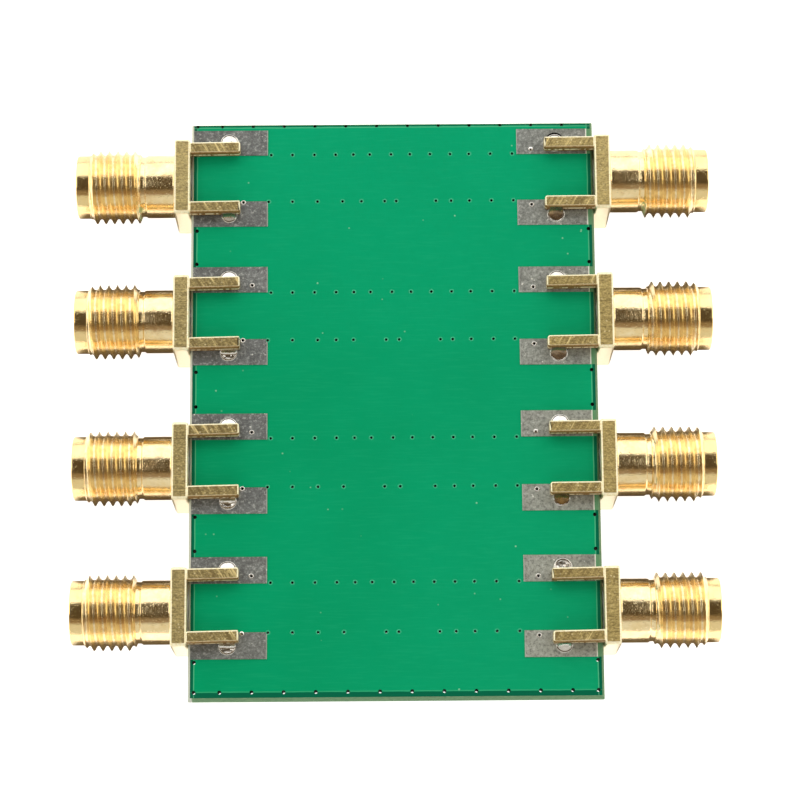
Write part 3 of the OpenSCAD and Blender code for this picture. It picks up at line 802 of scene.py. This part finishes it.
def flange_mesh(seed):
    """Square flange with rounded corners, eased edges and the insulator's bore through it."""
    work = bmesh.new()
    corner, half = 0.3, FLANGE_SIDE / 2
    outline = []
    for cy, cz, start in ((1, 1, 0), (-1, 1, 90), (-1, -1, 180), (1, -1, 270)):
        outline += arc((half - corner) * cy, (half - corner) * cz, corner, start, start + 90, 6)
    inner = arc(0.0, 0.0, BORE_D / 2, 0, 360, 48)[:-1]
    loops = []
    for x in (FLANGE_X, FLANGE_X + FLANGE_THICK):
        loops.append([
            [work.verts.new((x * MM, y * MM, z * MM)) for y, z in ring] for ring in (outline, inner)
        ])
    for back, front in zip(*loops):
        for k in range(len(back)):
            n = (k + 1) % len(back)
            work.faces.new((back[k], back[n], front[n], front[k]))
    for rings in loops:
        edges = [work.edges.get(pair) for ring in rings for pair in zip(ring, ring[1:] + ring[:1])]
        bmesh.ops.triangle_fill(work, edges=edges, use_beauty=True)
    bmesh.ops.recalc_face_normals(work, faces=work.faces)
    flatten(work)
    mesh = bpy.data.meshes.new(f"flange_{seed}")
    work.to_mesh(mesh)
    work.free()
    carrier = with_bevel(new_object("flange_carrier", mesh), 0.18, 3, held_back=False)
    return evaluated(carrier, f"flange_{seed}")


def legs_mesh(seed, side, row):
    """Four legs with rounded tips, ending just inside the flange's eased edge."""
    face = FLANGE_SIDE / 2 - 0.012                   # a hair under the flange's own face
    stand, lean = LEG_STAND[f"{side}{row}"]
    turned = 1.0 if side == "r" else -1.0            # the left jacks are made facing right
    tip = (FLANGE_X - TIP_LENGTH) * MM
    work = bmesh.new()
    for end in (-1, 1):
        for z0, z1 in ((PAD_TOP - AXIS_Z, face), (-face, TRACE_FACE - AXIS_Z)):
            outer, inner = end * LEG_OUT, end * (LEG_OUT - LEG_WIDE)
            made = slab(work, (LEG_TIP_X, outer, z0), (FLANGE_X + 0.06, inner, z1))
            for v in made:
                v.co.y += turned * (stand + (lean if v.co.x < tip else 0.0)) * MM
            corners = {e for v in made for e in v.link_edges
                       if abs(e.verts[0].co.z - e.verts[1].co.z) > 0.5 * MM and e.verts[0].co.x < tip}
            bmesh.ops.bevel(work, geom=list(corners), offset=0.2 * MM, segments=5, profile=0.5,
                            affect="EDGES")
    bmesh.ops.recalc_face_normals(work, faces=work.faces)
    mesh = bpy.data.meshes.new(f"legs_{seed}")
    work.to_mesh(mesh)
    work.free()
    carrier = with_bevel(new_object("legs_carrier", mesh), 0.15, 3, 40.0, held_back=False)
    return evaluated(carrier, f"legs_{seed}")


def shell(side, row, tree):
    """One jack's body: its barrel in turned gold, its flange and legs in milled gold."""
    seed = row + (0 if side == "l" else 4)
    parts = ((barrel_mesh(tree, seed), 0), (flange_mesh(seed), 1), (legs_mesh(seed, side, row), 1))
    work = bmesh.new()
    for mesh, index in parts:
        before = len(work.faces)
        work.from_mesh(mesh)
        work.faces.ensure_lookup_table()
        for face in work.faces[before:]:
            face.material_index = index
        bpy.data.meshes.remove(mesh)
    bmesh.ops.recalc_face_normals(work, faces=work.faces)
    mesh = bpy.data.meshes.new(f"jack_{side}{row}")
    work.to_mesh(mesh)
    work.free()
    if side == "l":
        mesh.transform(Matrix.Rotation(math.pi, 4, "Z"))
    mesh.transform(Matrix.Translation((0, jack_y(side, row) * MM, AXIS_Z * MM)))
    mesh = flat_faces_stay_flat(mesh)
    turned_or_milled = [polygon.material_index for polygon in mesh.polygons]
    mesh.materials.clear()
    obj = new_object(f"jack_{side}{row}_body", mesh, FINISH["gold_plate"], MILLED)
    mesh.polygons.foreach_set("material_index", turned_or_milled)
    finish_piece(obj, "gold_plate", f"jack_{side}{row}_shell")


thread_form = thread_tree()
for jack_side, jack_row in JACKS:
    shell(jack_side, jack_row, thread_form)


# Solder joints.

# Swell of the solder in the upper and in the lower hole of each jack: domes shine where they
# face the light, shallow hollows shine on their far side, and flat ones show the dark ceiling.
SWELL = {
    "l1": (0.16, 0.1), "l2": (0.18, -0.13), "l3": (0.2, -0.14), "l4": (0.2, -0.15),
    "r1": (0.14, 0.15), "r2": (0.2, 0.13), "r3": (0.22, 0.12), "r4": (0.08, 0.26),
}
# How much burnt flux covers the joint in the upper and in the lower hole; where there is more, the
# solder also climbs higher up the leg.
FLUX = {"l1": (0.0, 0.5), "r1": (0.0, 0.85), "r2": (0.1, 0.8), "r3": (0.0, 0.95), "r4": (0.4, 0.2)}
# How far each joint's middle is from the nominal hole, upper and lower.
STRAY = {"r1": (-0.14, -0.1), "r2": (0.0, -0.08), "r4": (0.05, 0.0)}


def solder(side, row, tree):
    """The solder of one jack: the CAD fillets, with a finished joint over each pad hole."""
    key, seat = f"{side}{row}", jack_y(side, row)
    mesh, work = merged_copy(f"jack_{key}_solder")
    caps = [v for v in work.verts if v.co.z > (PAD_TOP + 0.002) * MM]
    bmesh.ops.delete(work, geom=caps, context="VERTS")
    turned = 1.0 if side == "r" else -1.0
    coat = work.verts.layers.float.new("flux")
    for n, end in enumerate((1, -1)):
        burnt, before = FLUX.get(key, (0.0, 0.0))[n], len(work.verts)
        hole = PAD_ROWS[side][row - 1] + end * PAD_OFFSET + STRAY.get(key, (0, 0))[n]
        wall = seat + LEG_STAND[key][0] + end * LEG_OUT
        climb = 0.05 if n == 0 else 0.45 + burnt * 0.45
        joint = run_tree(
            tree, f"joint_{key}_{n}", middle_x=turned * HOLE_X, middle_y=hole, base=PAD_TOP,
            swell=SWELL[key][n], wall=hole - wall, side=float(end), climb=climb,
            seed=float(row * 3 + n + (20 if side == "r" else 0)), finish=FINISH["solder"],
        )
        work.from_mesh(joint)
        work.verts.ensure_lookup_table()
        for v in work.verts[before:]:
            off = math.hypot(v.co.x - turned * HOLE_X * MM, v.co.y - hole * MM)
            foot = n == 1 and abs(v.co.y - wall * MM) < 0.13 * MM      # browned along the leg
            v[coat] = max(burnt, 0.8 if foot else 0.0) if off < 0.64 * MM else 0.0
        bpy.data.meshes.remove(joint)
    bmesh.ops.recalc_face_normals(work, faces=work.faces)
    work.to_mesh(mesh)
    work.free()
    mesh.materials.clear()
    for polygon in mesh.polygons:
        polygon.material_index = 0
    smooth(mesh, 50.0)
    joints = new_object(f"jack_{key}_joints", mesh, FINISH["solder"])
    finish_piece(joints, "solder", f"jack_{key}_solder")


joint_form = joint_tree()
for jack_side, jack_row in JACKS:
    solder(jack_side, jack_row, joint_form)


# Collars of the small holes.

STITCH = 2.0                                # a row of small holes, off the middle of its printed line

# The middle of each printed line, and the small holes along its upper and its lower side.
ROW_MIDDLES = [(a + b) / 2 for a, b in zip(PAD_ROWS["l"], PAD_ROWS["r"])]
UPPER_X = [-9.95, -8.2, -6.4, -4.65, -3.2, -1.85, -0.1, 1.45, 3.1, 4.75, 6.3, 8.05, 9.85]
LOWER_X = [
    [-10.15, -8.2, -6.15, -4.1, -2.55, -0.65, 0.3, 3.55, 4.8, 6.3, 8.1, 9.9],
    [-10.2, -8.2, -6.15, -4.65, -3.25, -0.6, 0.45, 3.8, 4.8, 6.3, 8.1, 9.85],
    [-10.2, -8.2, -6.15, -4.1, -0.8, 0.45, 3.25, 4.8, 6.3, 8.1, 9.85],
    [-10.15, -8.2, -6.15, -4.1, -0.75, 0.25, 3.5, 4.8, 6.3, 8.05, 9.85],
]
# The small holes of a pad pair: inwards of the large hole, and off the pair's middle.
PAD_HOLES = {"l": ((1.89, 2.54), (1.15, -2.07)), "r": ((1.97, 2.38), (1.97, -2.38))}

# Jacks with one of their two small pad holes filled, 0 for the upper, and one filled flush.
FILLED, LEVELLED = {"r1": 0, "r3": 0, "l4": 1}, {"l1": 0}


def collars(name, slot, material, places, z, tree, **sizes):
    """One piece with the tree's form at each of these places."""
    mesh = bpy.data.meshes.new(name + "_points")
    mesh.from_pydata([(x * MM, y * MM, z * MM) for x, y in places], [], [])
    made = run_tree(tree, name, mesh, finish=material, **sizes)
    made.materials.clear()
    smooth(made, 60.0)
    finish_piece(new_object(name, made, material), slot)


collar_form = collar_tree()
mask_places = []
for middle, lower in zip(ROW_MIDDLES, LOWER_X):
    mask_places += [(x, middle + STITCH) for x in UPPER_X] + [(x, middle - STITCH) for x in lower]
pad_places, bead_places, level_places = [], [], []
for pad_side, pad_row in JACKS:
    for n, (inwards, off) in enumerate(PAD_HOLES[pad_side]):
        x = (HOLE_X - inwards) * (1 if pad_side == "r" else -1)
        key = f"{pad_side}{pad_row}"
        if FILLED.get(key) == n:
            chosen = bead_places
        elif LEVELLED.get(key) == n:
            chosen = level_places
        else:
            chosen = pad_places
        chosen.append((x, PAD_ROWS[pad_side][pad_row - 1] + off))
collars("mask_hole_collars", "green_board", MASK_RING, mask_places, BOARD_TOP, collar_form,
        radius=0.15, height=0.3)
collars("pad_hole_collars", "tinned_copper", FINISH["solder"], pad_places, PAD_TOP, collar_form)
bead_form = bead_tree()
collars("filled_holes", "solder", FINISH["solder"], bead_places, PAD_TOP, bead_form)
collars("levelled_hole", "tinned_copper", FINISH["tinned_copper"], level_places, PAD_TOP, bead_form,
        radius=0.22, height=0.05)


# The other solids.

SLOTS = {entry["node"]: entry["material_slot"] for entry in frame["record"]["subparts"]}
EASE = {"chip_ceramic": 0.02, "chip_metal": 0.015, "contact_gold": 0.02, "white_insulator": 0.03}
for node, slot_name in SLOTS.items():
    if node.startswith("jack_") and slot_name in ("gold_plate", "solder"):
        continue
    if slot_name in EASE:
        piece = new_object(node + "_piece", eased_copy(node, EASE[slot_name]), FINISH[slot_name])
        finish_piece(piece, slot_name, node)
    else:
        coats = frame["nodes"][node].data.materials
        coats.clear()
        coats.append(FINISH[slot_name])


# Stage, light, camera.


def table_top():
    """A white table that the camera sees washed out; in the metal's reflections it has painted shade
    beside the barrels, and is dimmer beyond the flanges, most behind the top row.
    """
    f = Finish("table_top", roughness=0.6, Specular_IOR_Level=0.1)
    rays = add(f.tree, "ShaderNodeLightPath").outputs
    camera_ray, glossy_ray = (Wire(f.tree, rays[name]) for name in ("Is Camera Ray", "Is Glossy Ray"))
    shade = None
    for row in (1, 2, 3, 4):
        near = (f.y - jack_y("r", row)).band(-7.0, -1.0, 1.5)
        shade = near if shade is None else shade.either(near)
    beyond = abs(f.x).rise(FLANGE_X + FLANGE_THICK + 0.2, FLANGE_X + FLANGE_THICK + 0.6)
    shade = shade * abs(f.x).band(FLANGE_X, MOUTH_X, 1.0) * glossy_ray * beyond
    f.set("Base Color", f.mix(shade, (0.9, 0.9, 0.9, 1.0), (0.24, 0.2, 0.15, 1.0)))
    behind = f.y.rise(jack_y("r", 1) + 1.0, jack_y("r", 1) + 3.0)
    mirrored = glossy_ray * (1 - shade) * (1 - beyond * (0.22 + behind * 0.4))
    glow = camera_ray * 0.84 + mirrored
    f.set("Emission Color", f.mix(glow, (0.0, 0.0, 0.0, 1.0), (1.0, 1.0, 1.0, 1.0)))
    f.set("Emission Strength", 1.0)
    return f.material


def table():
    """The table, just under the flanges."""
    work = bmesh.new()
    bmesh.ops.create_grid(work, x_segments=1, y_segments=1, size=0.6)
    mesh = bpy.data.meshes.new("table")
    work.to_mesh(mesh)
    work.free()
    obj = new_object("table", mesh, table_top())
    obj.location.z = -0.2 * MM


table()


def lamp(name, size, place, power, colour=(1.0, 1.0, 1.0), mirrored=True):
    """A rectangular lamp that faces the middle of the board."""
    light = bpy.data.lights.new(name, "AREA")
    light.shape, light.size, light.size_y = "RECTANGLE", size[0], size[1]
    light.energy, light.color = power, colour
    obj = bpy.data.objects.new(name, light)
    bpy.context.scene.collection.objects.link(obj)
    obj.location = place
    obj.rotation_euler = (-Vector(place)).to_track_quat("-Z", "Y").to_euler()
    obj.visible_glossy = mirrored


# A soft box beyond the board, from 27 to 84 degrees off the vertical, which the metal mirrors, and
# two lamps that it does not: one overhead and a warm one in front.
lamp("soft_box", (1.1, 0.66), (0.0, 0.5, 0.34), 2.4)
lamp("overhead", (1.1, 0.9), (0.0, 0.06, 0.5), 0.42, mirrored=False)
lamp("front_fill", (0.9, 0.3), (0.0, -0.44, 0.34), 0.9, (1.0, 0.97, 0.93), mirrored=False)


def room():
    """What the metal sees besides the lamps: a dark ceiling, a dim band in front of it, pale walls
    and bright ends."""
    world = bpy.data.worlds.new("room")
    world.use_nodes = True
    bpy.context.scene.world = world
    tree = world.node_tree
    towards = add(tree, "ShaderNodeTexCoord").outputs["Generated"]
    split = add(tree, "ShaderNodeSeparateXYZ", in0=towards)
    x, y, z = (Wire(tree, s) for s in split.outputs)
    lean = y.math("ARCTAN2", z) * (180 / math.pi)      # degrees from overhead, towards +Y
    colour = (0.78, 0.76, 0.69, 1.0)
    for start, end, shade in (
        (-51, -45, (0.3, 0.22, 0.14, 1.0)), (-31, -26, (0.09, 0.066, 0.04, 1.0)),
        (20, 30, (0.6, 0.58, 0.52, 1.0)),
    ):
        colour = mixed(tree, lean.rise(start, end), colour, shade)
    sides = abs(x).rise(0.95, 0.98).either(abs(x).rise(0.42, 0.52) * lean.band(-12, 10, 5))
    sides = sides.either(abs(x).rise(0.45, 0.6) * lean.rise(10, 16))
    colour = mixed(tree, sides, colour, (1.7, 1.62, 1.45, 1.0))
    plug(tree, tree.nodes["Background"].inputs["Color"], colour)


room()

# The camera, from a fit to the board's holes: millimetres, degrees, and pixels of the photograph.
EYE = Vector((-0.45, -53.535, 236.55 + BOARD_TOP))
FOCAL_PIXELS, PHOTO_PIXELS = 3005.48, 800
TILT, LEAN, ROLL = 12.84, -0.22, -0.4
camera_data = bpy.data.cameras.new("camera")
camera_data.sensor_width = 36.0
camera_data.lens = FOCAL_PIXELS / PHOTO_PIXELS * camera_data.sensor_width
camera_data.clip_start, camera_data.clip_end = 0.01, 10.0
camera = bpy.data.objects.new("camera", camera_data)
bpy.context.scene.collection.objects.link(camera)
stance = Matrix.Translation(EYE * MM)
for degrees, axis in ((TILT, "X"), (LEAN, "Y"), (ROLL, "Z")):
    stance = stance @ Matrix.Rotation(math.radians(degrees), 4, axis)
camera.matrix_world = stance
bpy.context.scene.camera = camera
bpy.context.scene.view_settings.view_transform = "Standard"
